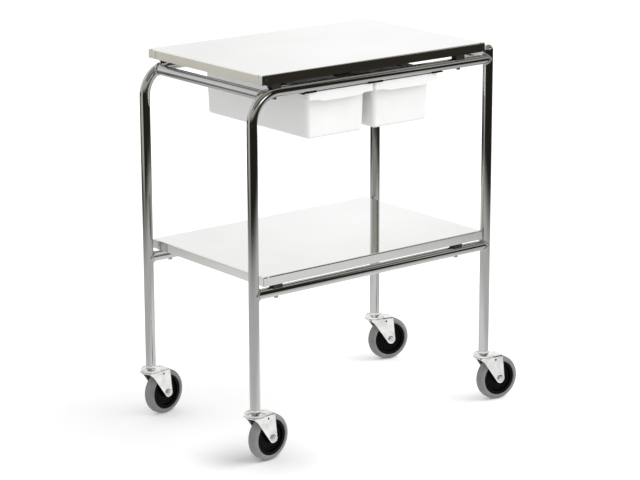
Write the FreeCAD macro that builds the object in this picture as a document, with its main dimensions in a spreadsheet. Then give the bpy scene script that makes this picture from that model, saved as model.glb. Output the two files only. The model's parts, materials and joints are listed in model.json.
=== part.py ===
import FreeCAD, Part
import os
import Sketcher

# Instrument table: two stainless trays on a chromed tube frame, two white drawers, four swivel castors.
# Millimetres, +Z up, drawers pull out along -Y, origin on the floor at the middle of the overall box.

doc = FreeCAD.newDocument("instrument_table")
sheet = doc.addObject("Spreadsheet::Sheet", "sizes")

SIZES = {
    # Frame tubes
    "tube_diameter": 22,
    "tube_wall": 1.5,
    "leg_span_x": 638,
    "leg_span_y": 380,
    "upper_rail_z": 779.5,
    "lower_rail_z": 363,
    "bend_radius": 62,
    "cross_rail_inset": 34,
    "leg_top_above_rail": 7.5,
    "cap_height": 12,
    "cap_plug_depth": 14,
    "socket_clearance": 0.1,
    # Trays
    "tray_end_clearance": 8,
    "tray_side_overhang": 10,
    "tray_depth": 20,
    "tray_sheet": 1.2,
    "tray_edge_radius": 2.5,
    "tray_lip_width": 24,
    "tray_notch_inset": 12,
    "tray_notch_radius": 1.6,
    "tray_slit_width": 1,
    "front_tab_width": 20,
    "side_tab_width": 27,
    "spot_weld_inset": 9.5,
    "spot_weld_radius": 2.2,
    "spot_weld_depth": 0.4,
    "top_gap": 7.5,
    "shelf_gap": 6,
    # Tray fixings
    "buffer_length": 23,
    "buffer_width": 16,
    "left_fixing_x": 262,
    "right_fixing_x": 232,
    "screw_diameter": 5,
    "screw_head_diameter": 9.5,
    "screw_head_height": 3,
    "nut_across_flats": 8,
    "nut_height": 4,
    "hole_clearance": 0.2,
    # Drawers
    "drawer_rim_width": 173,
    "drawer_gap": 3.5,
    "drawer_rim_drop": 2.5,
    "drawer_rim_thickness": 3,
    "drawer_overhang": 9.5,
    "drawer_front_overhang": 1,
    "drawer_panel_recess": 17,
    "drawer_back_overhang": 2,
    "drawer_back_recess": 8,
    "drawer_height": 103,
    "drawer_wall": 2.5,
    "drawer_draft": 2.3,
    "drawer_corner_radius": 11,
    "drawer_bottom_radius": 7,
    "rim_corner_radius": 5,
    "apron_height": 17,
    "apron_return": 15,
    "pull_width": 95,
    "pull_height": 21.5,
    "pull_slope": 15,
    "pull_edge_radius": 18,
    "front_edge_radius": 1,
    # Drawer runners
    "runner_sheet": 2.3,
    "runner_end_overhang": 5,
    "runner_clearance": 0.3,
    "runner_side_clearance": 1,
    "runner_outer_lip": 7,
    "runner_top_reach": 18,
    "runner_screw_diameter": 3,
    "runner_screw_head_diameter": 5.4,
    "runner_screw_head_height": 1.2,
    "runner_screw_length": 7,
    "centre_runner_screw_x": 10,
    # Castors
    "wheel_diameter": 100,
    "tyre_width": 25,
    "tyre_shoulder": 9,
    "wheel_centre_diameter": 77,
    "wheel_face_width": 22,
    "wheel_dish_depth": 5,
    "wheel_rim_width": 7,
    "wheel_ridge_height": 1.5,
    "wheel_boss_diameter": 26,
    "wheel_side_clearance": 0.3,
    "running_clearance": 0.05,
    "axle_diameter": 8,
    "axle_across_flats": 13,
    "axle_head_height": 5.5,
    "axle_nut_height": 4.5,
    "axle_end_length": 1,
    "castor_trail": 36.35,
    "fork_width": 34,
    "fork_sheet": 2,
    "fork_bend_radius": 3,
    "fork_end_radius": 10.5,
    "fork_rear_reach": 41,
    "fork_knee_reach": 7.8,
    "fork_knee_height": 11.4,
    "fork_throat_reach": 19,
    "fork_hole_diameter": 5,
    "fork_hole_reach": 22.6,
    "fork_hole_drop": 8.7,
    "wheel_top_clearance": 2.5,
    "crown_thickness": 2.5,
    "head_diameter": 45,
    "head_gap": 3,
    "head_height": 5,
    "race_diameter": 34,
    "king_pin_diameter": 10,
    "king_head_diameter": 16,
    "king_head_height": 4,
    "collar_across_flats": 22,
    "collar_height": 5,
    "stem_length": 45,
    "front_left_swivel": 6.3,
    "back_left_swivel": 8.7,
    "front_right_swivel": -7.8,
    "back_right_swivel": -11.9,
}
for row, (name, size) in enumerate(SIZES.items(), start=1):
    sheet.set(f"A{row}", name)
    sheet.set(f"B{row}", str(size))
    sheet.setAlias(f"B{row}", name)

# Places that follow from the sizes above
DERIVED = {
    "frame_x": "-(castor_trail + wheel_diameter / 2 - head_diameter / 2) / 2",
    "left_leg_x": "frame_x - leg_span_x / 2",
    "right_leg_x": "frame_x + leg_span_x / 2",
    "front_leg_y": "-leg_span_y / 2",
    "back_leg_y": "leg_span_y / 2",
    "crown_underside": "wheel_diameter + wheel_top_clearance",
    "crown_height": "crown_underside + crown_thickness",
    "head_bottom_z": "crown_height + head_gap",
    "head_top_z": "head_bottom_z + head_height",
    "leg_bottom_z": "head_top_z + collar_height",
    "tube_radius": "tube_diameter / 2",
    "bore_radius": "tube_diameter / 2 - tube_wall",
    "bend_x": "left_leg_x + bend_radius",
    "bend_z": "upper_rail_z - bend_radius",
    "cross_rail_x": "left_leg_x + cross_rail_inset",
    "cross_rail_z": "bend_z + sqrt(bend_radius ^ 2 - (bend_radius - cross_rail_inset) ^ 2)",
    "right_leg_top_z": "upper_rail_z + tube_radius + leg_top_above_rail",
    "tray_length": "leg_span_x - tube_diameter - 2 * tray_end_clearance",
    "tray_width": "leg_span_y + 2 * tray_side_overhang",
    "table_top_z": "upper_rail_z + tube_radius + top_gap + tray_depth",
    "lower_shelf_z": "lower_rail_z + tube_radius + shelf_gap + tray_depth",
    "left_screw_x": "frame_x - left_fixing_x",
    "right_screw_x": "frame_x + right_fixing_x",
    "lip_z": "tray_depth - tray_sheet",
    "bend_inside": "bend_radius - tube_radius",
    "left_head_reach": "bend_x - left_screw_x + screw_head_diameter / 2",
    "left_head_drop": "bend_inside - sqrt(bend_inside ^ 2 - left_head_reach ^ 2)",
    "drawer_centre": "(drawer_rim_width + drawer_gap) / 2",
    "drawer_rim_top_z": "upper_rail_z - tube_radius - drawer_rim_drop",
    "drawer_rim_front_y": "leg_span_y / 2 + drawer_front_overhang",
    "drawer_panel_y": "drawer_rim_front_y - drawer_panel_recess",
    "drawer_rim_back_y": "leg_span_y / 2 + drawer_back_overhang",
    "drawer_back_y": "drawer_rim_back_y - drawer_back_recess",
    "runner_top_z": "upper_rail_z - tube_radius",
    "runner_floor_z": "drawer_rim_top_z - drawer_rim_thickness - runner_clearance - runner_sheet",
    "runner_wall_x": "drawer_gap / 2 + drawer_rim_width + runner_side_clearance",
    "runner_screw_x": "runner_wall_x + runner_sheet + runner_outer_lip / 2",
    "wheel_radius": "wheel_diameter / 2",
    "fork_inside": "fork_width - 2 * fork_sheet",
}
sheet.set("D1", "Worked out from the sizes in column B")
for row, (name, formula) in enumerate(DERIVED.items(), start=2):
    sheet.set(f"D{row}", name)
    sheet.set(f"E{row}", "=" + formula)
    sheet.setAlias(f"E{row}", name)
doc.recompute()

LEVELS = {"upper": "upper_rail_z", "lower": "lower_rail_z"}
SIDES = {"front": "front_leg_y", "back": "back_leg_y"}
CASTORS = {
    "front_left": ("left_leg_x", "front_leg_y"),
    "back_left": ("left_leg_x", "back_leg_y"),
    "front_right": ("right_leg_x", "front_leg_y"),
    "back_right": ("right_leg_x", "back_leg_y"),
}
pieces = []


# Binding to the sheet

def names_to_cells(formula):
    """Write each size name of a formula as a cell of the sheet."""
    words = []
    word = ""
    for letter in formula + " ":
        if letter.isalnum() or letter == "_":
            word += letter
            continue
        known = word in SIZES or word in DERIVED
        words.append(f"sizes.{word}" if known else word)
        words.append(letter)
        word = ""
    return "".join(words).strip()


def value(name):
    return float(sheet.get(name))


def bind(thing, **formulas):
    for prop, formula in formulas.items():
        thing.setExpression(prop.replace("__", "."), names_to_cells(formula))


def place(thing, x="0", y="0", z="0", turn="0"):
    """Bind where a piece stands and how far it is turned about Z, in degrees."""
    thing.Placement = FreeCAD.Placement(FreeCAD.Vector(0, 0, 0), FreeCAD.Rotation(FreeCAD.Vector(0, 0, 1), 0))
    bind(thing, Placement__Base__x=x, Placement__Base__y=y, Placement__Base__z=z)
    if turn != "0":
        bind(thing, Placement__Rotation__Angle=turn)


# Bodies, sketches and features

def new_body(label):
    body = doc.addObject("PartDesign::Body", label)
    body.Label = label
    pieces.append(body)
    return body


def new_sketch(body, plane, x="0", y="0", z="0"):
    """A sketch on one of the body's origin planes, moved by x and y in the sketch and z along its normal."""
    sketch = body.newObject("Sketcher::SketchObject", f"{body.Name}_sketch")
    support = [feature for feature in body.Origin.OriginFeatures if feature.Role == plane][0]
    sketch.AttachmentSupport = (support, [""])
    sketch.MapMode = "FlatFace"
    bind(sketch, AttachmentOffset__Base__x=x, AttachmentOffset__Base__y=y, AttachmentOffset__Base__z=z)
    return sketch


def fix_point(sketch, geometry, end, x, y):
    """Hold one end of a sketch line, or a circle's centre, at bound distances from the sketch's origin."""
    for kind, formula in (("DistanceX", x), ("DistanceY", y)):
        number = sketch.addConstraint(Sketcher.Constraint(kind, -1, 1, geometry, end, sheet_number(formula)))
        sketch.setExpression(f"Constraints[{number}]", names_to_cells(formula))


def sheet_number(formula):
    """The present value of a formula, worked out by the document itself."""
    return float(sheet.evalExpression(names_to_cells(formula)))


def outline(sketch, points):
    """A closed outline of straight lines through bound points."""
    at = [FreeCAD.Vector(sheet_number(x), sheet_number(y), 0) for x, y in points]
    first = sketch.GeometryCount
    count = len(points)
    for index in range(count):
        sketch.addGeometry(Part.LineSegment(at[index], at[(index + 1) % count]), False)
    for index in range(count):
        following = first + (index + 1) % count
        sketch.addConstraint(Sketcher.Constraint("Coincident", first + index, 2, following, 1))
        fix_point(sketch, first + index, 1, *points[index])


def rectangle(sketch, left, bottom, right, top):
    outline(sketch, [(left, bottom), (right, bottom), (right, top), (left, top)])


def rounded_rectangle(sketch, left, bottom, right, top, radius):
    """A rectangle with round corners: four bound arcs joined by four tangent lines."""
    corners = [
        (f"{right} - {radius}", f"{top} - {radius}", 0),
        (f"{left} + {radius}", f"{top} - {radius}", 90),
        (f"{left} + {radius}", f"{bottom} + {radius}", 180),
        (f"{right} - {radius}", f"{bottom} + {radius}", 270),
    ]
    arcs = [arc(sketch, x, y, radius, start, start + 90) for x, y, start in corners]
    for index, curve in enumerate(arcs):
        following = arcs[(index + 1) % 4]
        begin = sketch.getPoint(curve, 2)
        line = sketch.addGeometry(Part.LineSegment(begin, sketch.getPoint(following, 1)), False)
        sketch.addConstraint(Sketcher.Constraint("Tangent", curve, 2, line, 1))
        sketch.addConstraint(Sketcher.Constraint("Tangent", line, 2, following, 1))


def hexagon(sketch, across_flats):
    half = f"{across_flats} / 2"
    corner = f"{across_flats} / sqrt(3)"
    outline(sketch, [
        (corner, "0"), (f"{corner} / 2", half), (f"-{corner} / 2", half),
        (f"-{corner}", "0"), (f"-{corner} / 2", f"-{half}"), (f"{corner} / 2", f"-{half}")])


def circle(sketch, radius, x="0", y="0"):
    centre = FreeCAD.Vector(sheet_number(x), sheet_number(y), 0)
    number = sketch.addGeometry(Part.Circle(centre, FreeCAD.Vector(0, 0, 1), sheet_number(radius)), False)
    fix_point(sketch, number, 3, x, y)
    size = sketch.addConstraint(Sketcher.Constraint("Radius", number, sheet_number(radius)))
    sketch.setExpression(f"Constraints[{size}]", names_to_cells(radius))


def arc(sketch, x, y, radius, start, end):
    """An arc about a bound centre, from one angle to the other in degrees."""
    centre = FreeCAD.Vector(sheet_number(x), sheet_number(y), 0)
    full = Part.Circle(centre, FreeCAD.Vector(0, 0, 1), sheet_number(radius))
    begin = FreeCAD.Units.Quantity(f"{start} deg").getValueAs("rad")
    finish = FreeCAD.Units.Quantity(f"{end} deg").getValueAs("rad")
    number = sketch.addGeometry(Part.ArcOfCircle(full, float(begin), float(finish)), False)
    fix_point(sketch, number, 3, x, y)
    size = sketch.addConstraint(Sketcher.Constraint("Radius", number, sheet_number(radius)))
    sketch.setExpression(f"Constraints[{size}]", names_to_cells(radius))
    return number


def pad(body, sketch, length, reverse=False, both_ways=False, taper=None):
    feature = body.newObject("PartDesign::Pad", f"{body.Name}_pad")
    feature.Profile = sketch
    feature.Reversed = reverse
    if both_ways:
        feature.SideType = "Symmetric"
    bind(feature, Length=length)
    if taper:
        bind(feature, TaperAngle=taper)
    doc.recompute()
    return feature


def pocket(body, sketch, length=None, reverse=False, both_ways=False, taper=None):
    """Cut a sketch out of a body; with no length it goes right through both ways."""
    before = body.Shape.Volume
    feature = body.newObject("PartDesign::Pocket", f"{body.Name}_pocket")
    feature.Profile = sketch
    feature.Reversed = reverse
    if length is None:
        feature.SideType = "Two sides"
        feature.Type = "ThroughAll"
        feature.Type2 = "ThroughAll"
    else:
        if both_ways:
            feature.SideType = "Symmetric"
        bind(feature, Length=length)
    if taper:
        bind(feature, TaperAngle=taper)
    doc.recompute()
    if not feature.Shape.Volume < before:
        raise RuntimeError(f"{feature.Name} in {body.Label} cut nothing")
    return feature


def turned(body, points, plane="XZ_Plane", x="0", z="0"):
    """A solid of revolution: an outline of radius and height points, turned about the sketch's axis."""
    sketch = new_sketch(body, plane, x=x, z=z)
    outline(sketch, points)
    feature = body.newObject("PartDesign::Revolution", f"{body.Name}_turned")
    feature.Profile = sketch
    feature.ReferenceAxis = (sketch, ["V_Axis"])
    feature.Angle = 360
    doc.recompute()
    return feature


def round_edges(body, base, radius, wanted):
    """Round the edges of a feature that a test on the edge's middle and direction picks."""
    names = []
    for number, edge in enumerate(base.Shape.Edges, start=1):
        middle = edge.CenterOfMass
        if wanted(edge, middle):
            names.append(f"Edge{number}")
    if not names:
        raise RuntimeError(f"no edge to round on {body.Label}")
    feature = body.newObject("PartDesign::Fillet", f"{body.Name}_fillet")
    feature.Base = (base, names)
    bind(feature, Radius=radius)
    doc.recompute()
    return feature


def runs_along(edge, axis):
    """Whether a straight edge runs along an axis."""
    if not isinstance(edge.Curve, Part.Line):
        return False
    return abs(abs(edge.Curve.Direction.dot(axis)) - 1) < NEAR


NEAR = 1e-6
SOLVER_NEAR = 0.01
UPRIGHT = FreeCAD.Vector(0, 0, 1)
ALONG_X = FreeCAD.Vector(1, 0, 0)
ALONG_Y = FreeCAD.Vector(0, 1, 0)


# Primitives and booleans

def cylinder(name, radius, height, x="0", y="0", z="0", axis=None):
    """A Part cylinder that starts at a bound place and runs along an axis, upwards if none is given."""
    thing = doc.addObject("Part::Cylinder", name)
    if axis:
        thing.Placement = FreeCAD.Placement(FreeCAD.Vector(0, 0, 0), FreeCAD.Rotation(UPRIGHT, axis))
    bind(thing, Radius=radius, Height=height)
    bind(thing, Placement__Base__x=x, Placement__Base__y=y, Placement__Base__z=z)
    return thing


def box(name, length, width, height, x, y, z):
    thing = doc.addObject("Part::Box", name)
    bind(thing, Length=length, Width=width, Height=height)
    bind(thing, Placement__Base__x=x, Placement__Base__y=y, Placement__Base__z=z)
    return thing


def joined(name, parts):
    thing = doc.addObject("Part::MultiFuse", name)
    thing.Shapes = parts
    return thing


def grouped(name, parts):
    """Separate solids that share one node."""
    thing = doc.addObject("Part::Compound", name)
    thing.Links = parts
    return thing


def cut(name, base, tools):
    thing = doc.addObject("Part::Cut", name)
    thing.Base = base
    thing.Tool = tools[0] if len(tools) == 1 else joined(f"{name}_tools", tools)
    return thing


def node(thing, label):
    thing.Label = label
    pieces.append(thing)
    return thing


# Screw places: each tray is held at two places on its front rail and two on its back rail

def fixing_places(level):
    for end in ("left", "right"):
        for side, y in SIDES.items():
            yield f"{level}_{end}_{side}", f"{end}_screw_x", y


def runner_places():
    """Two screws hold each side runner and four the centre one, which has its web in the middle."""
    for end, x in (
            ("left", "-runner_screw_x"), ("centre_left", "-centre_runner_screw_x"),
            ("centre_right", "centre_runner_screw_x"), ("right", "runner_screw_x")):
        for side, y in SIDES.items():
            yield f"{end}_{side}", x, y


def drill_rail(body, side, level):
    """The through holes of one rail: tray screws, and on the upper rails the runner screws from below."""
    sketch = new_sketch(body, "XY_Plane")
    for end in ("left", "right"):
        circle(sketch, "screw_diameter / 2 + hole_clearance", x=f"{end}_screw_x", y=SIDES[side])
    pocket(body, sketch)
    if level == "upper":
        sketch = new_sketch(body, "XY_Plane", z="runner_top_z - tube_wall")
        for name, x, y in runner_places():
            if name.endswith(side):
                circle(sketch, "runner_screw_diameter / 2 + hole_clearance", x=f"frame_x + {x}", y=y)
        pocket(body, sketch, length="tube_radius + tube_wall", reverse=True)


# Frame: each bent tube is a left leg, a bend and an upper rail that ends in a saddle on the right leg

def make_bent_tube(side):
    body = new_body(f"{side}_bent_tube")
    path = new_sketch(body, "XZ_Plane", z=f"-{SIDES[side]}")
    bottom = FreeCAD.Vector(sheet_number("left_leg_x"), sheet_number("leg_bottom_z"), 0)
    bend_start = FreeCAD.Vector(sheet_number("left_leg_x"), sheet_number("bend_z"), 0)
    bend_end = FreeCAD.Vector(sheet_number("bend_x"), sheet_number("upper_rail_z"), 0)
    rail_end = FreeCAD.Vector(sheet_number("right_leg_x"), sheet_number("upper_rail_z"), 0)
    leg = path.addGeometry(Part.LineSegment(bottom, bend_start), False)
    bend = arc(path, "bend_x", "bend_z", "bend_radius", 90, 180)
    rail = path.addGeometry(Part.LineSegment(bend_end, rail_end), False)
    fix_point(path, leg, 1, "left_leg_x", "leg_bottom_z")
    fix_point(path, rail, 2, "right_leg_x", "upper_rail_z")
    path.addConstraint(Sketcher.Constraint("Tangent", leg, 2, bend, 2))
    path.addConstraint(Sketcher.Constraint("Tangent", bend, 1, rail, 1))
    section = new_sketch(body, "XY_Plane", z="leg_bottom_z")
    circle(section, "tube_radius", x="left_leg_x", y=SIDES[side])
    circle(section, "bore_radius", x="left_leg_x", y=SIDES[side])
    sweep = body.newObject("PartDesign::AdditivePipe", f"{body.Name}_sweep")
    sweep.Profile = section
    sweep.Spine = path
    doc.recompute()
    saddle = new_sketch(body, "XY_Plane")
    circle(saddle, "tube_radius", x="right_leg_x", y=SIDES[side])
    pocket(body, saddle)
    drill_rail(body, side, "upper")


def make_right_leg(side):
    body = new_body(f"{side}_right_leg")
    section = new_sketch(body, "XY_Plane", z="leg_bottom_z")
    circle(section, "tube_radius", x="right_leg_x", y=SIDES[side])
    circle(section, "bore_radius", x="right_leg_x", y=SIDES[side])
    pad(body, section, "right_leg_top_z - leg_bottom_z")


def make_lower_rail(side):
    body = new_body(f"lower_{side}_rail")
    section = new_sketch(body, "YZ_Plane", z="left_leg_x")
    circle(section, "tube_radius", x=SIDES[side], y="lower_rail_z")
    circle(section, "bore_radius", x=SIDES[side], y="lower_rail_z")
    pad(body, section, "leg_span_x")
    saddle = new_sketch(body, "XY_Plane")
    circle(saddle, "tube_radius", x="left_leg_x", y=SIDES[side])
    circle(saddle, "tube_radius", x="right_leg_x", y=SIDES[side])
    pocket(body, saddle)
    drill_rail(body, side, "lower")


def make_cross_rail(end):
    """A tube between the front and the back of the frame, its ends cut to the tubes that it is welded to."""
    x = {"left": "cross_rail_x", "right": "right_leg_x"}[end]
    z = {"left": "cross_rail_z", "right": "upper_rail_z"}[end]
    outside = cylinder(f"{end}_cross_outside", "tube_radius", "leg_span_y", x, "front_leg_y", z, ALONG_Y)
    inside = cylinder(f"{end}_cross_inside", "bore_radius", "leg_span_y", x, "front_leg_y", z, ALONG_Y)
    saddles = []
    for side, y in SIDES.items():
        if end == "right":
            saddles.append(cylinder(
                f"{side}_cross_saddle", "tube_radius", "right_leg_top_z", "right_leg_x", y))
            saddles.append(cylinder(
                f"{side}_rail_saddle", "tube_radius", "leg_span_x", "left_leg_x", y, "upper_rail_z", ALONG_X))
            continue
        saddle = doc.addObject("Part::Torus", f"{side}_bend_saddle")
        saddle.Placement = FreeCAD.Placement(FreeCAD.Vector(0, 0, 0), FreeCAD.Rotation(UPRIGHT, ALONG_Y))
        bind(saddle, Radius1="bend_radius", Radius2="tube_radius")
        bind(saddle, Placement__Base__x="bend_x", Placement__Base__y=y, Placement__Base__z="bend_z")
        saddles.append(saddle)
    node(cut(f"{end}_cross_rail", outside, [inside] + saddles), f"{end}_cross_rail")


def make_end_caps():
    """Domed caps that plug the open tops of the right legs."""
    caps = []
    for side, y in SIDES.items():
        name = f"{side}_cap"
        plug = cylinder(
            f"{name}_plug", "bore_radius - socket_clearance", "cap_plug_depth", "right_leg_x", y,
            "right_leg_top_z - cap_plug_depth")
        skirt = cylinder(
            f"{name}_skirt", "tube_radius", "cap_height - tube_radius", "right_leg_x", y, "right_leg_top_z")
        dome = doc.addObject("Part::Sphere", f"{name}_dome")
        dome.Angle1 = 0
        bind(dome, Radius="tube_radius")
        bind(dome, Placement__Base__x="right_leg_x", Placement__Base__y=y)
        bind(dome, Placement__Base__z="right_leg_top_z + cap_height - tube_radius")
        caps.append(joined(name, [plug, skirt, dome]))
    node(grouped("leg_end_caps", caps), "leg_end_caps")


# Trays: a flat sheet with four down-turned flanges, return lips and relief notches near the corners

def make_tray(label, top_z):
    body = new_body(label)
    half_length = "tray_length / 2"
    half_width = "tray_width / 2"

    def ring(inset):
        """A sketch of the tray's outline at its top, with a smaller one inside it."""
        sketch = new_sketch(body, "XY_Plane")
        rectangle(sketch, f"-{half_length}", f"-{half_width}", half_length, half_width)
        if inset:
            rectangle(
                sketch, f"-({half_length} - {inset})", f"-({half_width} - {inset})",
                f"{half_length} - {inset}", f"{half_width} - {inset}")
        return sketch

    pad(body, ring(None), "tray_sheet", reverse=True)
    pad(body, ring("tray_sheet"), "tray_depth", reverse=True)
    lips = ring("tray_lip_width")
    bind(lips, AttachmentOffset__Base__z="-lip_z")
    folded = pad(body, lips, "tray_sheet", reverse=True)
    round_edges(
        body, folded, "tray_edge_radius",
        lambda edge, middle: abs(middle.z) < NEAR and edge.Length > value("tray_width") / 2)
    notches = new_sketch(body, "XY_Plane", z="-tray_sheet")
    for sign_x in ("-", ""):
        for sign_y in ("-", ""):
            circle(
                notches, "tray_notch_radius", x=f"{sign_x}({half_length} - tray_notch_inset)",
                y=f"{sign_y}{half_width}")
            circle(
                notches, "tray_notch_radius", x=f"{sign_x}{half_length}",
                y=f"{sign_y}({half_width} - tray_notch_inset)")
    pocket(body, notches, length="2 * tray_notch_radius", both_ways=True)
    slits = new_sketch(body, "XY_Plane", z="-tray_edge_radius")
    for sign, other in (("", "-"), ("-", "")):
        front = (f"{other}({half_width} + tray_sheet)", f"{other}({half_width} - tray_sheet)")
        tab = f"({half_length} - front_tab_width)"
        rectangle(slits, f"{sign}{tab}", front[0], f"{sign}({tab} + tray_slit_width)", front[1])
        seam = f"({half_length} - tray_sheet)"
        rectangle(slits, f"{other}{seam}", front[0], f"{other}({seam} - tray_slit_width)", front[1])
        side = (f"{other}({half_length} + tray_sheet)", f"{other}{seam}")
        tab = f"({half_width} - side_tab_width)"
        rectangle(slits, side[0], f"{sign}{tab}", side[1], f"{sign}({tab} + tray_slit_width)")
    pocket(body, slits, length="lip_z - tray_edge_radius")
    for sign, face in (("-", half_width), ("", f"-{half_width}")):
        spot_weld = new_sketch(body, "XZ_Plane", z=face)
        circle(
            spot_weld, "spot_weld_radius", x=f"{sign}({half_length} - spot_weld_inset)",
            y="-tray_depth / 2")
        pocket(body, spot_weld, length="spot_weld_depth", reverse=sign == "")
    holes = new_sketch(body, "XY_Plane", z="-lip_z")
    for end in ("left", "right"):
        for y in SIDES.values():
            circle(holes, "screw_diameter / 2 + hole_clearance", x=f"{end}_screw_x - frame_x", y=y)
    pocket(body, holes, length="tray_sheet")
    place(body, x="frame_x", z=top_z)


# Buffers and screws between a tray and its rails

def make_fixings(tray, level, gap):
    """Black blocks that saddle the rails, each with a screw up through rail and block to a nut."""
    rail_z = LEVELS[level]
    seat_z = f"{rail_z} + tube_radius + {gap}"
    blocks = []
    screws = []
    for name, x, y in fixing_places(level):
        block = box(
            f"{name}_block", "buffer_length", "buffer_width", f"tube_radius / 2 + {gap}",
            f"{x} - buffer_length / 2", f"{y} - buffer_width / 2", f"{rail_z} + tube_radius / 2")
        rail = cylinder(
            f"{name}_block_saddle", "tube_radius", "2 * buffer_length", f"{x} - buffer_length", y,
            rail_z, ALONG_X)
        hole = cylinder(
            f"{name}_block_hole", "screw_diameter / 2 + hole_clearance", f"tube_diameter + {gap}",
            x, y, rail_z)
        blocks.append(cut(f"{name}_buffer", block, [rail, hole]))
        under_rail = f"{rail_z} - tube_radius"
        if name.startswith("upper_left"):
            under_rail += " - left_head_drop"
        head = cylinder(
            f"{name}_head", "screw_head_diameter / 2", "screw_head_height", x, y,
            f"{under_rail} - screw_head_height")
        shank = cylinder(
            f"{name}_shank", "screw_diameter / 2", f"{seat_z} + 2 * tray_sheet + nut_height - ({under_rail})",
            x, y, under_rail)
        screws.append(joined(f"{name}_screw", [head, shank]))
        nut = doc.addObject("Part::Prism", f"{name}_nut_blank")
        nut.Polygon = 6
        bind(nut, Circumradius="nut_across_flats / sqrt(3)", Height="nut_height")
        bind(nut, Placement__Base__x=x, Placement__Base__y=y, Placement__Base__z=f"{seat_z} + tray_sheet")
        thread = cylinder(
            f"{name}_nut_bore", "screw_diameter / 2", "nut_height", x, y, f"{seat_z} + tray_sheet")
        screws.append(cut(f"{name}_nut", nut, [thread]))
    node(grouped(f"{tray}_buffers", blocks), f"{tray}_buffers")
    node(grouped(f"{tray}_screws", screws), f"{tray}_screws")


# Drawers: a tapered box with a flat rim all round and a deep front lip that serves as the pull

def bends_lip(middle):
    """Whether an edge's middle is at one of the four places where the lip's lower edge bends."""
    half = value("pull_width") / 2
    bends = ((half, -value("pull_height")), (half + value("pull_slope"), -value("apron_height")))
    return any(abs(abs(middle.x) - x) < NEAR and abs(middle.z - z) < NEAR for x, z in bends)


def make_drawer(label, centre):
    """Modelled about its own middle, with the rim's top at height zero."""
    body = new_body(label)
    half_rim = "drawer_rim_width / 2"
    half_box = "(drawer_rim_width / 2 - drawer_overhang)"
    front = "-drawer_rim_front_y"

    outside = new_sketch(body, "XY_Plane", z="-drawer_rim_thickness")
    rounded_rectangle(
        outside, f"-{half_box}", "-drawer_panel_y", half_box, "drawer_back_y", "drawer_corner_radius")
    block = pad(body, outside, "drawer_height - drawer_rim_thickness", reverse=True, taper="-drawer_draft")
    bottom_z = -value("drawer_height")
    round_edges(
        body, block, "drawer_bottom_radius",
        lambda edge, middle: abs(middle.z - bottom_z) < NEAR)

    rim = new_sketch(body, "XY_Plane")
    rounded_rectangle(rim, f"-{half_rim}", front, half_rim, "drawer_rim_back_y", "rim_corner_radius")
    pad(body, rim, "drawer_rim_thickness", reverse=True)

    apron = new_sketch(body, "XY_Plane")
    rounded_rectangle(
        apron, f"-{half_rim}", front, half_rim, f"({front} + apron_return)", "rim_corner_radius")
    pad(body, apron, "apron_height", reverse=True)
    pull = new_sketch(body, "XZ_Plane", z="drawer_rim_front_y")
    wide = "(pull_width / 2 + pull_slope)"
    outline(pull, [
        (f"-{wide}", "0"), (f"-{wide}", "-apron_height"), ("-pull_width / 2", "-pull_height"),
        ("pull_width / 2", "-pull_height"), (wide, "-apron_height"), (wide, "0")])
    lip = pad(body, pull, "apron_return - rim_corner_radius", reverse=True)
    lip = round_edges(
        body, lip, "pull_edge_radius",
        lambda edge, middle: runs_along(edge, ALONG_Y) and bends_lip(middle))
    front_y = -value("drawer_rim_front_y")
    round_edges(
        body, lip, "front_edge_radius",
        lambda edge, middle: abs(middle.y - front_y) < NEAR and middle.z < -value("drawer_rim_thickness"))

    finger_space = new_sketch(body, "XY_Plane", z="-pull_height")
    rounded_rectangle(
        finger_space, f"-({half_rim} - drawer_wall)", f"({front} + drawer_wall)",
        f"({half_rim} - drawer_wall)", "-drawer_panel_y", "rim_corner_radius - drawer_wall")
    pocket(body, finger_space, length="pull_height - drawer_rim_thickness", reverse=True)

    inside = new_sketch(body, "XY_Plane")
    rounded_rectangle(
        inside, f"-({half_box} - drawer_wall)", "-(drawer_panel_y - drawer_wall)",
        f"({half_box} - drawer_wall)", "(drawer_back_y - drawer_wall)",
        "(drawer_corner_radius - drawer_wall)")
    hollow = pocket(body, inside, length="drawer_height - drawer_wall", taper="-drawer_draft")
    floor_z = -value("drawer_height") + value("drawer_wall")
    round_edges(
        body, hollow, "drawer_bottom_radius - drawer_wall",
        lambda edge, middle: abs(middle.z - floor_z) < NEAR)
    place(body, x=centre, z="drawer_rim_top_z")


# Runners: black channels under the rails that the drawers' rims slide in

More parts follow.
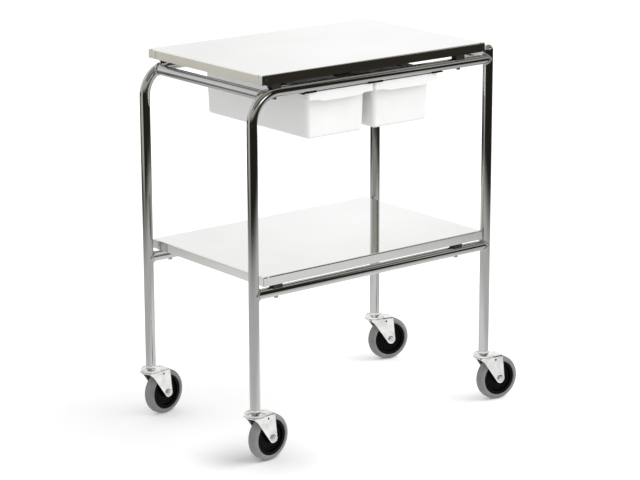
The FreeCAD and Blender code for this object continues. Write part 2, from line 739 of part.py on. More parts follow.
def make_runner(end):
    body = new_body(f"{end}_runner")
    sketch = new_sketch(body, "XZ_Plane")
    top = "runner_top_z"
    under = "drawer_rim_top_z + runner_clearance"
    shelf = "runner_floor_z + runner_sheet"
    base = "runner_floor_z"
    floor_reach = "drawer_overhang - runner_side_clearance"
    if end == "centre":
        web = "(drawer_gap / 2 - runner_clearance)"
        reach = f"(drawer_gap / 2 + {floor_reach})"
        wide = "(drawer_gap / 2 + runner_top_reach)"
        half = [(wide, top), (wide, under), (web, under), (web, shelf), (reach, shelf), (reach, base)]
        outline(sketch, half + [(f"-{x}", z) for x, z in reversed(half)])
    else:
        sign = {"left": "-", "right": ""}[end]
        wall = "runner_wall_x"
        inner = f"(drawer_gap / 2 + drawer_rim_width - ({floor_reach}))"
        inner_top = "(drawer_gap / 2 + drawer_rim_width - runner_top_reach)"
        outer = "(runner_wall_x + runner_sheet)"
        flange = "(runner_wall_x + runner_sheet + runner_outer_lip)"
        points = [
            (flange, top), (inner_top, top), (inner_top, under), (wall, under), (wall, shelf), (inner, shelf),
            (inner, base), (outer, base), (outer, under), (flange, under)]
        outline(sketch, [(f"{sign}{x}", z) for x, z in points])
    pad(body, sketch, "leg_span_y + 2 * runner_end_overhang", both_ways=True)
    holes = new_sketch(body, "XY_Plane")
    sinks = new_sketch(body, "XY_Plane", z=under)
    for name, x, y in runner_places():
        if name.startswith(end):
            circle(holes, "runner_screw_diameter / 2 + hole_clearance", x=x, y=y)
            circle(sinks, "runner_screw_head_diameter / 2 + hole_clearance", x=x, y=y)
    pocket(body, holes)
    pocket(body, sinks, length="runner_screw_head_height", reverse=True)
    apron_room = new_sketch(body, "XY_Plane", z=base)
    reach = "(runner_wall_x + runner_sheet + runner_outer_lip)"
    rectangle(
        apron_room, f"-2 * {reach}", "-(leg_span_y / 2 + 2 * runner_end_overhang)", f"2 * {reach}",
        "-(drawer_rim_front_y - apron_return - runner_side_clearance)")
    pocket(body, apron_room, length=f"{under} - ({base})", reverse=True)
    place(body, x="frame_x")


def make_runner_screws():
    """Flat-headed screws, sunk flush under the runner's top web, that bite in the wall of the rail."""
    screws = []
    head_z = "drawer_rim_top_z + runner_clearance"
    for name, x, y in runner_places():
        place_x = f"frame_x + {x}"
        head = cylinder(
            f"{name}_runner_screw_head", "runner_screw_head_diameter / 2", "runner_screw_head_height",
            place_x, y, head_z)
        shank = cylinder(
            f"{name}_runner_screw_shank", "runner_screw_diameter / 2", "runner_screw_length",
            place_x, y, head_z)
        screws.append(joined(f"{name}_runner_screw", [head, shank]))
    node(grouped("runner_screws", screws), "runner_screws")


# Castors: each is modelled about its stem with the wheel trailing along +X, then turned on the stem

def make_stem(corner, x, y):
    """Expander stem, hex collar, domed race cup and king pin, all fixed to the leg."""
    body = new_body(f"{corner}_stem")
    turned(body, [
        ("0", "crown_underside - king_head_height"),
        ("king_head_diameter / 2", "crown_underside - king_head_height"),
        ("king_head_diameter / 2", "crown_underside - running_clearance"),
        ("king_pin_diameter / 2", "crown_underside - running_clearance"),
        ("king_pin_diameter / 2", "head_bottom_z + fork_sheet"),
        ("head_diameter / 2 - fork_sheet", "head_bottom_z + fork_sheet"),
        ("head_diameter / 2 - fork_sheet", "head_bottom_z - fork_sheet"),
        ("head_diameter / 2", "head_bottom_z - fork_sheet"),
        ("head_diameter / 2", "head_bottom_z + fork_sheet"),
        ("collar_across_flats / 2", "head_top_z"),
        ("bore_radius - socket_clearance", "head_top_z"),
        ("bore_radius - socket_clearance", "leg_bottom_z + stem_length"),
        ("0", "leg_bottom_z + stem_length"),
    ])
    collar = new_sketch(body, "XY_Plane", z="head_top_z")
    hexagon(collar, "collar_across_flats")
    pad(body, collar, "collar_height")
    place(body, x=x, y=y)


def make_race_ring(corner, x, y, turn):
    """The lower race with its ball ring, pressed on the fork's crown."""
    body = new_body(f"{corner}_race_ring")
    turned(body, [
        ("king_pin_diameter / 2 + running_clearance", "crown_height"),
        ("race_diameter / 2 + fork_sheet", "crown_height"),
        ("race_diameter / 2", "head_bottom_z + fork_sheet - running_clearance"),
        ("king_pin_diameter / 2 + running_clearance", "head_bottom_z + fork_sheet - running_clearance"),
    ])
    place(body, x=x, y=y, turn=turn)


# Rough start and finish of the arc round the fork's end, in degrees; its tangent lines settle them
FORK_END_ARC = (216, 360)


def make_fork(corner, x, y, turn):
    body = new_body(f"{corner}_fork")
    side = new_sketch(body, "XZ_Plane")
    heel = ("fork_rear_reach", "crown_height")
    throat = ("-fork_throat_reach", "crown_underside")
    knee = ("-fork_knee_reach", "crown_height - fork_knee_height")
    tip = (throat[0], "crown_height")
    at = {name: FreeCAD.Vector(sheet_number(x), sheet_number(z), 0)
          for name, (x, z) in {"heel": heel, "throat": throat, "knee": knee, "tip": tip}.items()}
    end = arc(side, "castor_trail", "wheel_radius", "fork_end_radius", *FORK_END_ARC)
    rear = side.addGeometry(Part.LineSegment(at["heel"], side.getPoint(end, 2)), False)
    front = side.addGeometry(Part.LineSegment(side.getPoint(end, 1), at["knee"]), False)
    slope = side.addGeometry(Part.LineSegment(at["knee"], at["throat"]), False)
    nose = side.addGeometry(Part.LineSegment(at["throat"], at["tip"]), False)
    back = side.addGeometry(Part.LineSegment(at["tip"], at["heel"]), False)
    side.addConstraint(Sketcher.Constraint("Tangent", rear, 2, end, 2))
    side.addConstraint(Sketcher.Constraint("Tangent", end, 1, front, 1))
    for one, other in ((front, slope), (slope, nose), (nose, back), (back, rear)):
        side.addConstraint(Sketcher.Constraint("Coincident", one, 2, other, 1))
    fix_point(side, rear, 1, *heel)
    fix_point(side, slope, 1, *knee)
    fix_point(side, nose, 1, *throat)
    fix_point(side, back, 1, *tip)
    blank = pad(body, side, "fork_width", both_ways=True)
    knee_z = value("crown_height") - value("fork_knee_height")
    blank = round_edges(
        body, blank, "fork_end_radius",
        lambda edge, middle: abs(middle.z - knee_z) < SOLVER_NEAR and runs_along(edge, ALONG_Y))
    blank = round_edges(
        body, blank, "fork_bend_radius",
        lambda edge, middle: abs(middle.z - value("crown_height")) < NEAR and runs_along(edge, ALONG_X))
    channel = new_sketch(body, "YZ_Plane")
    rectangle(channel, "-fork_inside / 2", "0", "fork_inside / 2", "crown_underside")
    pocket(body, channel)
    crown = new_sketch(body, "XY_Plane", z="crown_underside")
    circle(crown, "head_diameter / 2")
    pad(body, crown, "crown_thickness")
    bore = new_sketch(body, "XY_Plane")
    circle(bore, "king_pin_diameter / 2 + running_clearance")
    pocket(body, bore)
    drillings = new_sketch(body, "XZ_Plane")
    circle(drillings, "axle_diameter / 2", x="castor_trail", y="wheel_radius")
    circle(drillings, "fork_hole_diameter / 2", x="fork_hole_reach", y="crown_height - fork_hole_drop")
    pocket(body, drillings)
    place(body, x=x, y=y, turn=turn)


def make_axle(corner, x, y, turn):
    """Axle bolt: a hexagon head behind the fork, and a nut in front with the bolt's end standing out."""
    body = new_body(f"{corner}_axle")
    shank = new_sketch(body, "XZ_Plane", x="castor_trail", y="wheel_radius", z="-fork_width / 2")
    circle(shank, "axle_diameter / 2")
    pad(body, shank, "fork_width + axle_nut_height + axle_end_length")
    head = ("-fork_width / 2", "axle_head_height", True)
    nut = ("fork_width / 2", "axle_nut_height", False)
    for start, height, backwards in (head, nut):
        flats = new_sketch(body, "XZ_Plane", x="castor_trail", y="wheel_radius", z=start)
        hexagon(flats, "axle_across_flats")
        pad(body, flats, height, reverse=backwards)
    place(body, x=x, y=y, turn=turn)


def make_wheel_centre(corner, x, y, turn):
    """Moulded wheel centre: a rim, a dished web with a raised ring on each side, and a boss with the bore."""
    body = new_body(f"{corner}_wheel_centre")
    bore = "axle_diameter / 2 + running_clearance"
    boss = "wheel_boss_diameter / 2"
    face = "wheel_face_width / 2"
    dish = "(wheel_face_width / 2 - wheel_dish_depth)"
    rim = "wheel_centre_diameter / 2"
    ring = f"({rim} + {boss}) / 2"
    ring_half = "wheel_rim_width / 4"
    boss_face = "fork_inside / 2 - wheel_side_clearance"
    half = [
        (bore, boss_face),
        (f"{boss} - wheel_ridge_height", boss_face),
        (boss, dish),
        (f"{ring} - {ring_half}", dish),
        (f"{ring} - {ring_half}", f"{dish} + wheel_ridge_height"),
        (f"{ring} + {ring_half}", f"{dish} + wheel_ridge_height"),
        (f"{ring} + {ring_half}", dish),
        (f"{rim} - wheel_rim_width", dish),
        (f"{rim} - wheel_rim_width", face),
        (rim, face),
    ]
    mirrored = [(radius, f"-({height})") for radius, height in reversed(half)]
    turned(body, half + mirrored, plane="XY_Plane", x="castor_trail", z="wheel_radius")
    place(body, x=x, y=y, turn=turn)


def make_tyre(corner, x, y, turn):
    body = new_body(f"{corner}_tyre")
    inner = "wheel_centre_diameter / 2"
    side_start = f"{inner} + (tyre_width - wheel_face_width) / 2"
    edge = "tyre_width / 2"
    section = turned(body, [
        (inner, "-wheel_face_width / 2"),
        (side_start, f"-{edge}"),
        ("wheel_radius", f"-{edge}"),
        ("wheel_radius", edge),
        (side_start, edge),
        (inner, "wheel_face_width / 2"),
    ], plane="XY_Plane", x="castor_trail", z="wheel_radius")
    outer = value("wheel_radius")
    round_edges(
        body, section, "tyre_shoulder",
        lambda edge, middle: isinstance(edge.Curve, Part.Circle) and abs(edge.Curve.Radius - outer) < NEAR)
    place(body, x=x, y=y, turn=turn)


for side in SIDES:
    make_bent_tube(side)
    make_right_leg(side)
    make_lower_rail(side)
for end in ("left", "right"):
    make_cross_rail(end)
make_end_caps()
make_tray("table_top", "table_top_z")
make_tray("lower_shelf", "lower_shelf_z")
make_fixings("table_top", "upper", "top_gap")
make_fixings("lower_shelf", "lower", "shelf_gap")
make_drawer("left_drawer", "frame_x - drawer_centre")
make_drawer("right_drawer", "frame_x + drawer_centre")
for end in ("left", "centre", "right"):
    make_runner(end)
make_runner_screws()
for corner, (x, y) in CASTORS.items():
    turn = f"{corner}_swivel"
    make_stem(corner, x, y)
    make_race_ring(corner, x, y, turn)
    make_fork(corner, x, y, turn)
    make_axle(corner, x, y, turn)
    make_wheel_centre(corner, x, y, turn)
    make_tyre(corner, x, y, turn)
doc.recompute()

# Every object is checked before anything is written

for thing in doc.Objects:
    if "Invalid" in thing.State or "Error" in thing.State:
        raise RuntimeError(f"{thing.Label} failed: {thing.State}")
for piece in pieces:
    if piece.Shape.isNull() or not piece.Shape.isValid():
        raise RuntimeError(f"{piece.Label} has no valid shape")

os.makedirs("parts", exist_ok=True)
for piece in pieces:
    piece.Shape.exportStep(f"parts/{piece.Label}.step")
print(len(pieces), "nodes written")
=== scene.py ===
import json
import math

import bmesh
import bpy
from mathutils import Matrix, Vector


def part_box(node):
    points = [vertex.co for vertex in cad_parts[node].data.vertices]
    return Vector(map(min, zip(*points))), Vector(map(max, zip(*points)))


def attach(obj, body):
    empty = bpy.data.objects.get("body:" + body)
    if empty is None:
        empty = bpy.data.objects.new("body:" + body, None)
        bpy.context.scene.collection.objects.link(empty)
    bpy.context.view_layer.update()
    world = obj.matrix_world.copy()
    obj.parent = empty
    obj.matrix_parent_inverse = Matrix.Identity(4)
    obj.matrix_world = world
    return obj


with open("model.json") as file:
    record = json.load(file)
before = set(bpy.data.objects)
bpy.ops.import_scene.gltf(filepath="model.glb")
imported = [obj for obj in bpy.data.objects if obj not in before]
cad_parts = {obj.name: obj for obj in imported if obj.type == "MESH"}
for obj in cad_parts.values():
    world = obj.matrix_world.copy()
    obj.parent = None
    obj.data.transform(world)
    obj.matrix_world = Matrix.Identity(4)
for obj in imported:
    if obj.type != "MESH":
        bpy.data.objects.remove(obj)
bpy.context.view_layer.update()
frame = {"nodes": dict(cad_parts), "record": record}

# Instrument table: chromed tube frame, polished stainless trays, white drawers, swivel castors.
# Metres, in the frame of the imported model: +X to the straight legs, -Y the front, +Z up.

nodes = frame["nodes"]
scene = bpy.context.scene


# Materials: every finish is a node material in the coordinates of its own object

NOISE_DETAIL = 4.0
BUMP_DETAIL = 3.0
COLOUR_BAND = (0.35, 0.65)  # the part of the noise that takes a colour from low to high
LEVEL_BAND = (0.3, 0.7)  # the same for a number
PATCHES_PER_METRE = 6.0
ROUGHNESS_SCALE = 4  # roughness patches are so many times smaller than colour patches


def feed(material, socket, given):
    """Link a socket to another one, or set its number or colour."""
    if isinstance(given, bpy.types.NodeSocket):
        material.node_tree.links.new(given, socket)
    else:
        socket.default_value = given


def add_node(material, kind, settings=None, **inputs):
    """A shader node; underscores in input names stand for spaces."""
    node = material.node_tree.nodes.new(kind)
    for name, setting in (settings or {}).items():
        setattr(node, name, setting)
    for name, given in inputs.items():
        feed(material, node.inputs[name.replace("_", " ")], given)
    return node


def calculate(material, operation, first, second):
    """A Math node's result."""
    node = add_node(material, "ShaderNodeMath", {"operation": operation})
    feed(material, node.inputs[0], first)
    feed(material, node.inputs[1], second)
    return node.outputs["Value"]


def smooth_step(material, value, start, end):
    """A number that runs smoothly from 0 at one value to 1 at the other."""
    return add_node(
        material, "ShaderNodeMapRange", {"interpolation_type": "SMOOTHSTEP"}, Value=value,
        From_Min=start, From_Max=end, To_Min=0.0, To_Max=1.0).outputs["Result"]


def blend(material, factor, low, high):
    """A colour that runs from low at factor 0 to high at factor 1."""
    return add_node(
        material, "ShaderNodeMixRGB", Fac=factor, Color1=low, Color2=high).outputs["Color"]


def object_place(material):
    """Coordinates in metres along the object's own axes."""
    return add_node(material, "ShaderNodeTexCoord").outputs["Object"]


def noise(material, scale, detail=NOISE_DETAIL):
    """Noise in object coordinates, in waves per metre."""
    return add_node(
        material, "ShaderNodeTexNoise", Vector=object_place(material), Scale=scale,
        Detail=detail).outputs["Fac"]


def between(material, factor, low, high):
    """A number that runs from low to high as noise runs over its middle range."""
    return add_node(
        material, "ShaderNodeMapRange", Value=factor, From_Min=LEVEL_BAND[0],
        From_Max=LEVEL_BAND[1], To_Min=low, To_Max=high).outputs["Result"]


def tint(material, factor, low, high):
    """A colour that runs from low to high as noise runs over its middle range."""
    ramp = add_node(material, "ShaderNodeValToRGB", Fac=factor)
    for element, position, colour in zip(ramp.color_ramp.elements, COLOUR_BAND, (low, high)):
        element.position = position
        element.color = (*colour, 1)
    return ramp.outputs["Color"]


def finish_material(
        name, low, high, rough, grain, depth, metallic=0.0, patch=PATCHES_PER_METRE,
        **shader_inputs):
    """A surface with two near colours in patches, uneven roughness and a fine bump.

    grain is the bump's waves per metre and depth its height in metres."""
    material = bpy.data.materials.new(name)
    material.use_nodes = True
    shader = material.node_tree.nodes["Principled BSDF"]
    shader.inputs["Metallic"].default_value = metallic
    for key, given in shader_inputs.items():
        shader.inputs[key.replace("_", " ")].default_value = given
    colour = tint(material, noise(material, patch), low, high)
    feed(material, shader.inputs["Base Color"], colour)
    roughness = between(material, noise(material, ROUGHNESS_SCALE * patch), *rough)
    feed(material, shader.inputs["Roughness"], roughness)
    height = noise(material, grain, detail=BUMP_DETAIL)
    bump = add_node(material, "ShaderNodeBump", Strength=1.0, Distance=depth, Height=height)
    feed(material, shader.inputs["Normal"], bump.outputs["Normal"])
    return material


def grey(level, warm=0.0):
    """A grey with a little warmth: red up and blue down by that share."""
    return (level * (1 + warm), level, level * (1 - warm))


MATERIALS = {
    "chromed_tube": finish_material(
        "chrome", grey(0.55), grey(0.59),
        rough=(0.03, 0.07), grain=90, depth=0.00002, metallic=1.0),
    "polished_stainless": finish_material(
        "polished_stainless", grey(0.91, 0.004), grey(0.95, 0.004),
        rough=(0.02, 0.05), grain=14, depth=0.00005, metallic=1.0),
    "zinc_plated_steel": finish_material(
        "zinc_plate", grey(0.76, 0.004), grey(0.96, 0.004),
        rough=(0.12, 0.24), grain=160, depth=0.00004, metallic=1.0, patch=50),
    "zinc_fastener": finish_material(
        "zinc_fastener", grey(0.66, -0.01), grey(0.76, 0.01),
        rough=(0.16, 0.26), grain=300, depth=0.00001, metallic=1.0, patch=80),
    "white_plastic": finish_material(
        "white_plastic", (0.86, 0.86, 0.85), (0.89, 0.89, 0.88),
        rough=(0.32, 0.42), grain=2400, depth=0.00002, patch=12),
    "black_plastic": finish_material(
        "black_plastic", grey(0.002), grey(0.005),
        rough=(0.3, 0.45), grain=2200, depth=0.00004, patch=60, Specular_IOR_Level=0.05),
    "black_rubber": finish_material(
        "black_rubber", grey(0.014), grey(0.024),
        rough=(0.6, 0.75), grain=1500, depth=0.00005, patch=60),
    "grey_tyre": finish_material(
        "grey_tyre", grey(0.21, 0.005), grey(0.24),
        rough=(0.55, 0.7), grain=1800, depth=0.00003, patch=50),
}

for subpart in frame["record"]["subparts"]:
    node = nodes[subpart["node"]]
    node.data.materials.clear()
    node.data.materials.append(MATERIALS[subpart["material_slot"]])


# Weld beads: chromed with the frame, round the saddle joints of the rails

BEAD_RADIUS = 0.0028
BEAD_RIPPLE = 0.1  # height of the ripples as a share of the radius
BEAD_WAVES = 24
BEAD_SIDES = 10
BEAD_STEPS = 144
SEAM_ROUNDING = 0.02  # keeps the seam clear of the sharp turn where the tubes' sides meet
ALONG_X, ALONG_Y, UPRIGHT = Vector((1, 0, 0)), Vector((0, 1, 0)), Vector((0, 0, 1))


def weld_bead(name, loop):
    """A closed rippled bead through a loop of points."""
    mesh = bmesh.new()
    count = len(loop)
    side = UPRIGHT.cross(loop[1] - loop[-1])
    turns = [math.tau * step / BEAD_SIDES for step in range(BEAD_SIDES)]
    rings = []
    for index, point in enumerate(loop):
        tangent = (loop[(index + 1) % count] - loop[index - 1]).normalized()
        side = (side - tangent * side.dot(tangent)).normalized()
        up = tangent.cross(side)
        ripple = math.sin(math.tau * BEAD_WAVES * index / count)
        radius = BEAD_RADIUS * (1 + BEAD_RIPPLE * ripple)
        rings.append([
            mesh.verts.new(point + radius * (math.cos(turn) * side + math.sin(turn) * up))
            for turn in turns])
    for index, ring in enumerate(rings):
        following = rings[(index + 1) % count]
        for step in range(BEAD_SIDES):
            beside = (step + 1) % BEAD_SIDES
            corners = (ring[step], ring[beside], following[beside], following[step])
            mesh.faces.new(corners).smooth = True
    bmesh.ops.recalc_face_normals(mesh, faces=mesh.faces)
    data = bpy.data.meshes.new(name)
    mesh.to_mesh(data)
    mesh.free()
    data.materials.append(MATERIALS["chromed_tube"])
    bead = bpy.data.objects.new(name, data)
    scene.collection.objects.link(bead)
    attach(bead, "frame")


def seam(corner, radius, rail, other):
    """Points round the seam where a tube along rail ends on an equal tube along other."""
    across = rail.cross(other)
    points = []
    for step in range(BEAD_STEPS):
        turn = math.tau * step / BEAD_STEPS
        reach = math.sqrt(math.cos(turn) ** 2 + SEAM_ROUNDING)
        direction = reach * rail + math.cos(turn) * other + math.sin(turn) * across
        points.append(corner + radius * direction)
    return points


def middle_of(name):
    """The centre of a node's box."""
    low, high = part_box(name)
    return (Vector(low) + Vector(high)) / 2


def add_welds():
    """Beads where the lower, upper and cross rails end on the legs and the bends.

    Those on the bends are turned towards the corner where leg and upper rail would meet, which
    is only roughly the way that the bent tube runs there."""
    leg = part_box("front_right_leg")
    radius = (leg[1][0] - leg[0][0]) / 2
    left_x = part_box("front_bent_tube")[0][0] + radius
    right_x = middle_of("front_right_leg").x
    cross = middle_of("left_cross_rail")
    upper_z = middle_of("right_cross_rail").z
    to_corner = Vector((left_x - cross.x, 0, upper_z - cross.z)).normalized()
    for side, inward in (("front", ALONG_Y), ("back", -ALONG_Y)):
        lower = middle_of(f"lower_{side}_rail")
        for end, x, rail in (("left", left_x, ALONG_X), ("right", right_x, -ALONG_X)):
            corner = Vector((x, lower.y, lower.z))
            weld_bead(f"weld_lower_{side}_{end}", seam(corner, radius, rail, UPRIGHT))
        upper = Vector((right_x, lower.y, upper_z))
        weld_bead(f"weld_upper_{side}", seam(upper, radius, -ALONG_X, UPRIGHT))
        weld_bead(f"weld_right_cross_{side}", seam(upper, radius, inward, UPRIGHT))
        bend = Vector((cross.x, lower.y, cross.z))
        weld_bead(f"weld_left_cross_{side}", seam(bend, radius, inward, to_corner))


add_welds()


# Stage: a white floor for the camera, and round it a room that only the metal reflects.
# A fade is the pair of places, in metres, between which one shade runs into the next.

WHITE = (1, 1, 1, 1)

FLOOR_REACH = 14.0
FLOOR_GREY = 0.93
FLOOR_UNEVENNESS = 0.01
FLOOR_PATCHES = 3
FLOOR_ROUGHNESS = 0.9
# painted light: strength of the floor's camera-only glow, which whitens the floor over its broad
# shadows
FLOOR_PAINTED_GLOW = 0.2
SHADOW_FADE = (0.06, 0.2)

ROOM_REACH = 5.0
ROOM_HEIGHT = 4.0
ROOM_FLOOR_LEVEL = -0.001
CEILING_FRONT = -3.0
CEILING_BACK = 2.0
BACK_WALL_HEIGHT = 0.5
RIGHT_WALL_BACK = 1.0
LIGHT_WALL_END = 2.0
WARM_SIDE_START = -0.3
DARK_ROOM = (0.025, 0.022, 0.017, 1)
WARM_WALL = (0.56, 0.54, 0.48, 1)
CEILING = (0.34, 0.33, 0.28, 1)
LIGHT_WALL = (0.5, 0.487, 0.445, 1)
WALL_FADE = (0.4, 2.4)

NEAR_PAPER = (0.93, 0.93, 0.92, 1)
FAR_PAPER = (0.64, 0.64, 0.625, 1)
GREY_FLOOR = (0.12, 0.115, 0.1, 1)
NEAR_FADE = (0.45, 0.95)
PAPER_FADE = (1.4, 2.5)
LEFT_FADE = (-1.5, -3.0)
RIGHT_FADE = (1.0, 4.0)
REAR_FADE = (-2.0, 0.5)
WARM_SIDE_BLUR = 0.3

SCREEN_PLACE = ((-5, 5.2), (12, 5.2))
SCREEN_HEIGHT = 8.0
SCREEN_GREY = (0.92, 0.92, 0.915, 1)
SCREEN_SIDE_FADE = (3.3, 4.3)
SCREEN_TOP_FADE = (2.05, 2.4)

SOFT_GREY = (0.5, 0.5, 0.48, 1)
CORNER_LIGHT = ((4.1, -4.95), (4.95, -3.1))
CORNER_LIGHT_HEIGHTS = (1.5, 3.8)
RIGHT_LIGHT = ((4.95, -3.1), (4.95, 1.0))
RIGHT_LIGHT_HEIGHTS = (1.2, 3.8)
FRONT_LIGHT = ((-0.3, -3.9), (0.9, -3.9))
FRONT_LIGHT_HEIGHTS = (1.8, 2.6)
FRONT_LIGHT_STRENGTH = 3.0


def emission(name, colour, strength=1.0):
    """A material that shines in one colour."""
    material = bpy.data.materials.new(name)
    material.use_nodes = True
    material.node_tree.nodes.clear()
    light = add_node(material, "ShaderNodeEmission", Color=colour, Strength=strength)
    add_node(material, "ShaderNodeOutputMaterial", Surface=light.outputs["Emission"])
    return material


def shine_in(material, colour):
    """Give a shining material the colour that its nodes work out."""
    feed(material, material.node_tree.nodes["Emission"].inputs["Color"], colour)


def place_parts(material):
    """The X, Y and Z of the object coordinates."""
    return add_node(
        material, "ShaderNodeSeparateXYZ", Vector=object_place(material)).outputs


def panel(name, corners, material):
    """A flat stage panel with four corners."""
    mesh = bpy.data.meshes.new(name)
    mesh.from_pydata([Vector(corner) for corner in corners], [], [(0, 1, 2, 3)])
    mesh.materials.append(material)
    thing = bpy.data.objects.new(name, mesh)
    scene.collection.objects.link(thing)
    return thing


def level_panel(name, low, high, height, material):
    """A floor or ceiling between two corners."""
    return panel(name, [
        (low[0], low[1], height), (high[0], low[1], height), (high[0], high[1], height),
        (low[0], high[1], height)], material)


def upright_panel(name, start, end, bottom, top, material):
    """A wall from one floor point to another."""
    return panel(
        name, [(*start, bottom), (*end, bottom), (*end, top), (*start, top)], material)


def for_metal_only(thing):
    """Leave a panel visible to glossy rays alone."""
    thing.visible_camera = False
    thing.visible_diffuse = False
    thing.visible_shadow = False
    thing.visible_transmission = False


def floor_material():
    """Pale floor that takes shadows.

    What the camera sees of it is lifted a little to white, but not close to the front left
    wheel, where the shadow is clearest in the photograph."""
    material = bpy.data.materials.new("floor_paint")
    material.use_nodes = True
    shader = material.node_tree.nodes["Principled BSDF"]
    shader.inputs["Roughness"].default_value = FLOOR_ROUGHNESS
    shader.inputs["Specular IOR Level"].default_value = 0.0
    shader.inputs["Emission Color"].default_value = WHITE
    paint = tint(
        material, noise(material, FLOOR_PATCHES), grey(FLOOR_GREY - FLOOR_UNEVENNESS),
        grey(FLOOR_GREY))
    feed(material, shader.inputs["Base Color"], paint)
    # Painted light: a glow that only the camera sees whitens the floor and hides its broad
    # shadows; it fades out near the front left wheel, so the shadow there stays.
    wheel = middle_of("front_left_tyre")
    away = add_node(
        material, "ShaderNodeVectorMath", {"operation": "DISTANCE"},
        Vector=object_place(material))
    away.inputs[1].default_value = (wheel.x, wheel.y, 0)
    clear = smooth_step(material, away.outputs["Value"], *SHADOW_FADE)
    painted_glow = calculate(material, "MULTIPLY", clear, FLOOR_PAINTED_GLOW)
    seen = add_node(material, "ShaderNodeLightPath").outputs["Is Camera Ray"]
    strength = calculate(material, "MULTIPLY", seen, painted_glow)
    feed(material, shader.inputs["Emission Strength"], strength)
    return material


def light_wall_material():
    """A wall that is dark at the foot and lighter higher up."""
    material = emission("light_wall", LIGHT_WALL)
    height = smooth_step(material, place_parts(material)["Z"], *WALL_FADE)
    shine_in(material, blend(material, height, DARK_ROOM, LIGHT_WALL))
    return material


def back_screen_material():
    """A white backdrop, a little greyer to the left and higher up."""
    material = emission("back_screen", WHITE)
    parts = place_parts(material)
    right = smooth_step(material, parts["X"], *SCREEN_SIDE_FADE)
    high = smooth_step(material, parts["Z"], *SCREEN_TOP_FADE)
    shade = add_node(
        material, "ShaderNodeMixRGB", {"blend_type": "MULTIPLY"}, Fac=1.0,
        Color1=blend(material, right, SCREEN_GREY, WHITE),
        Color2=blend(material, high, WHITE, SCREEN_GREY))
    shine_in(material, shade.outputs["Color"])
    return material


def room_floor_material():
    """Paper round the table that is brightest next to it and fades to the room's floor.

    The floor beyond is dark, warm grey on the left behind, and grey on the right behind."""
    material = emission("room_floor", DARK_ROOM)
    parts = place_parts(material)
    away = add_node(
        material, "ShaderNodeVectorMath", {"operation": "LENGTH"},
        Vector=object_place(material)).outputs["Value"]
    left = smooth_step(material, parts["X"], *LEFT_FADE)
    behind = smooth_step(
        material, parts["Y"], WARM_SIDE_START - WARM_SIDE_BLUR, WARM_SIDE_START + WARM_SIDE_BLUR)
    right = smooth_step(material, parts["X"], *RIGHT_FADE)
    rear = smooth_step(material, parts["Y"], *REAR_FADE)
    beyond = blend(
        material, calculate(material, "MULTIPLY", right, rear), DARK_ROOM, GREY_FLOOR)
    beyond = blend(material, calculate(material, "MULTIPLY", left, behind), beyond, WARM_WALL)
    paper = blend(
        material, smooth_step(material, away, *NEAR_FADE), NEAR_PAPER, FAR_PAPER)
    shine_in(material, blend(material, smooth_step(material, away, *PAPER_FADE), paper, beyond))
    return material


def build_room():
    """A room with dark walls and grey lights at the right front, and paler walls on the left.

    A small lamp hangs in front, and at the back a white screen stands on a low dark wall."""
    reach, height = ROOM_REACH, ROOM_HEIGHT
    dark = emission("dark_room", DARK_ROOM)
    light_wall = light_wall_material()
    soft_grey = emission("soft_grey", SOFT_GREY)
    lamp = emission("front_light", WHITE, FRONT_LIGHT_STRENGTH)
    front_left, front_right, back_left = (-reach, -reach), (reach, -reach), (-reach, reach)
    front_part, left_part = (LIGHT_WALL_END, -reach), (-reach, WARM_SIDE_START)
    level = (
        ("room_floor", front_left, (reach, reach), ROOM_FLOOR_LEVEL, room_floor_material()),
        ("front_ceiling", front_left, (reach, CEILING_FRONT), height, dark),
        ("room_ceiling", (-reach, CEILING_FRONT), (reach, CEILING_BACK), height,
         emission("ceiling", CEILING)))
    walls = (
        ("front_wall", front_part, front_right, 0, height, dark),
        ("right_wall", front_right, (reach, RIGHT_WALL_BACK), 0, height, dark),
        ("back_wall", back_left, (reach, reach), 0, BACK_WALL_HEIGHT, dark),
        ("front_left_wall", front_left, front_part, 0, height, light_wall),
        ("left_front_wall", front_left, left_part, 0, height, light_wall),
        ("left_wall", left_part, back_left, 0, height, emission("warm_wall", WARM_WALL)),
        ("back_screen", *SCREEN_PLACE, BACK_WALL_HEIGHT, SCREEN_HEIGHT, back_screen_material()),
        ("corner_light", *CORNER_LIGHT, *CORNER_LIGHT_HEIGHTS, soft_grey),
        ("right_light", *RIGHT_LIGHT, *RIGHT_LIGHT_HEIGHTS, soft_grey),
        ("front_light", *FRONT_LIGHT, *FRONT_LIGHT_HEIGHTS, lamp))
    for name, low, high, z, material in level:
        for_metal_only(level_panel(name, low, high, z, material))
    for name, start, end, bottom, top, material in walls:
        for_metal_only(upright_panel(name, start, end, bottom, top, material))


floor = level_panel(
    "floor", (-FLOOR_REACH, -FLOOR_REACH), (FLOOR_REACH, FLOOR_REACH), 0, floor_material())
floor.visible_glossy = False
build_room()


# Light: an even white surround, and a soft key from the right front

SURROUND = 0.8
KEY_PLACE = (2.6, -1.9, 2.5)
KEY_STRENGTH = 1.75
KEY_SPREAD = 60


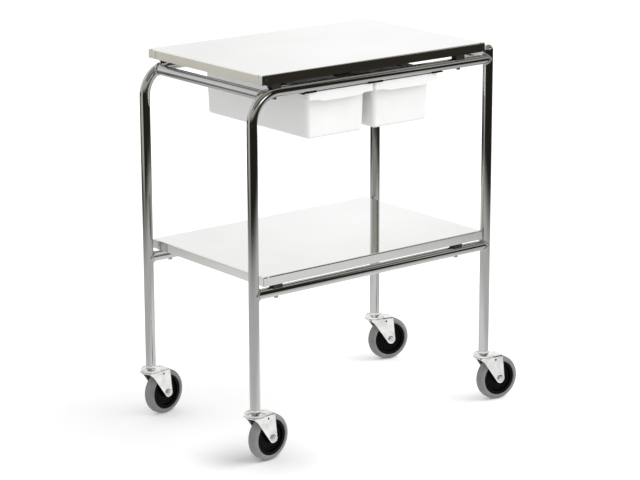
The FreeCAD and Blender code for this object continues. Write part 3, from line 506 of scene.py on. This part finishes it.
def light_surround():
    """Even light on matt surfaces; full white to the camera and to the metal."""
    world = bpy.data.worlds.new("studio")
    scene.world = world
    world.use_nodes = True
    rays = add_node(world, "ShaderNodeLightPath").outputs
    seen = calculate(world, "MAXIMUM", rays["Is Camera Ray"], rays["Is Glossy Ray"])
    seen = calculate(world, "MAXIMUM", seen, rays["Is Transmission Ray"])
    background = world.node_tree.nodes["Background"]
    background.inputs["Color"].default_value = WHITE
    strength = add_node(world, "ShaderNodeMapRange", Value=seen, To_Min=SURROUND, To_Max=1.0)
    feed(world, background.inputs["Strength"], strength.outputs["Result"])


def soft_key():
    """A wide sun lamp that the metal doesn't mirror."""
    data = bpy.data.lights.new("key", "SUN")
    data.energy = KEY_STRENGTH
    data.angle = math.radians(KEY_SPREAD)
    lamp = bpy.data.objects.new("key", data)
    scene.collection.objects.link(lamp)
    lamp.location = KEY_PLACE
    lamp.rotation_euler = (-Vector(KEY_PLACE)).to_track_quat("-Z", "Y").to_euler()
    lamp.visible_glossy = False


light_surround()
soft_key()


# Camera, fitted to the photograph's corners, legs and wheels; angles in degrees

CAMERA_PLACE = (-3.0642, -3.8266, 1.6969)
CAMERA_AZIMUTH = 38.438
CAMERA_PITCH = 15.015
CAMERA_ROLL = -0.179
CAMERA_LENS = 130.20
CAMERA_SENSOR = 36
CAMERA_CLIP_END = 60


def add_camera():
    """The photograph's camera, without lens shift."""
    data = bpy.data.cameras.new("camera")
    data.lens = CAMERA_LENS
    data.sensor_width = CAMERA_SENSOR
    data.clip_end = CAMERA_CLIP_END
    camera = bpy.data.objects.new("camera", data)
    scene.collection.objects.link(camera)
    turn = Matrix.Rotation(math.radians(-CAMERA_AZIMUTH), 4, "Z")
    tip = Matrix.Rotation(math.radians(90 - CAMERA_PITCH), 4, "X")
    roll = Matrix.Rotation(math.radians(CAMERA_ROLL), 4, "Z")
    camera.matrix_world = Matrix.Translation(CAMERA_PLACE) @ turn @ tip @ roll
    scene.camera = camera


add_camera()
scene.view_settings.view_transform = "Standard"
